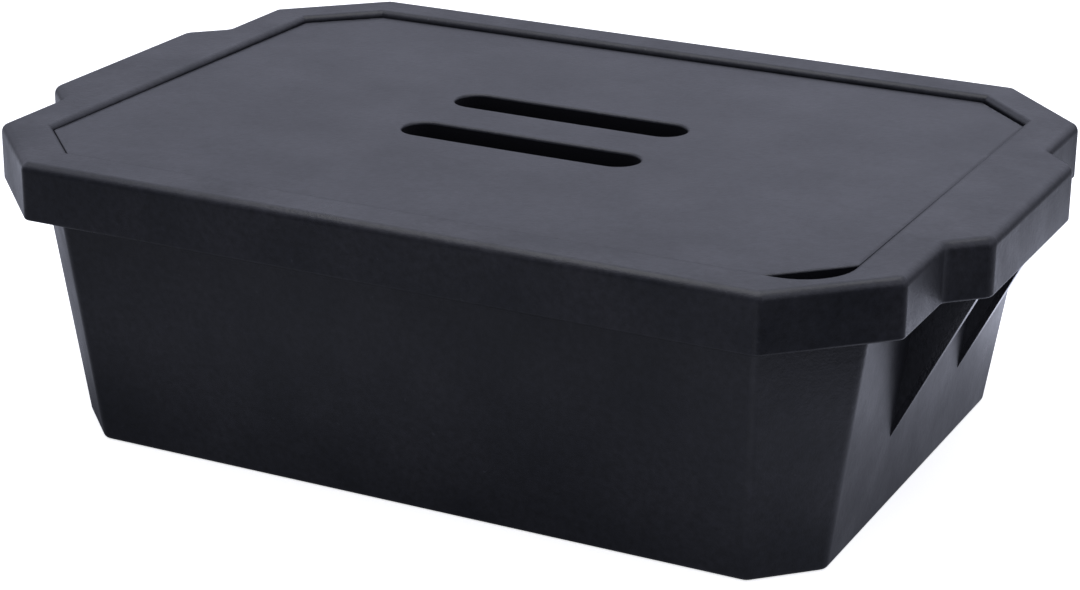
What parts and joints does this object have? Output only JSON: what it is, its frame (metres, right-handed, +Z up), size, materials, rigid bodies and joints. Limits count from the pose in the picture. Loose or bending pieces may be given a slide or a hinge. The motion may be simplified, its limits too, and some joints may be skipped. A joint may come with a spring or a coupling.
{
  "type": "lab ice bucket",
  "caption": "Rectangular foam ice pan with cut corners, leaning walls, an overhanging rim, gusseted grip lips at its ends and a lift-out lid with finger slots.",
  "frame": {"origin": "centre of the underside, on the surface that the pan stands on", "axes": "+X along the length, towards the end with the thumb notch; +Y across the width, away from the notch; +Z up"},
  "size_m": [0.429, 0.299, 0.129],
  "materials": {
    "pan_foam": "matte",
    "lid_foam": "matte"
  },
  "bodies": {
    "pan": {"pan": "pan_foam"},
    "lid": {"lid": "lid_foam"}
  },
  "joints": [
    {"name": "lid_lift", "type": "slide", "parent": "pan", "child": "lid", "axis": [0, 0, 1], "range_m": [0, 0.2]}
  ]
}
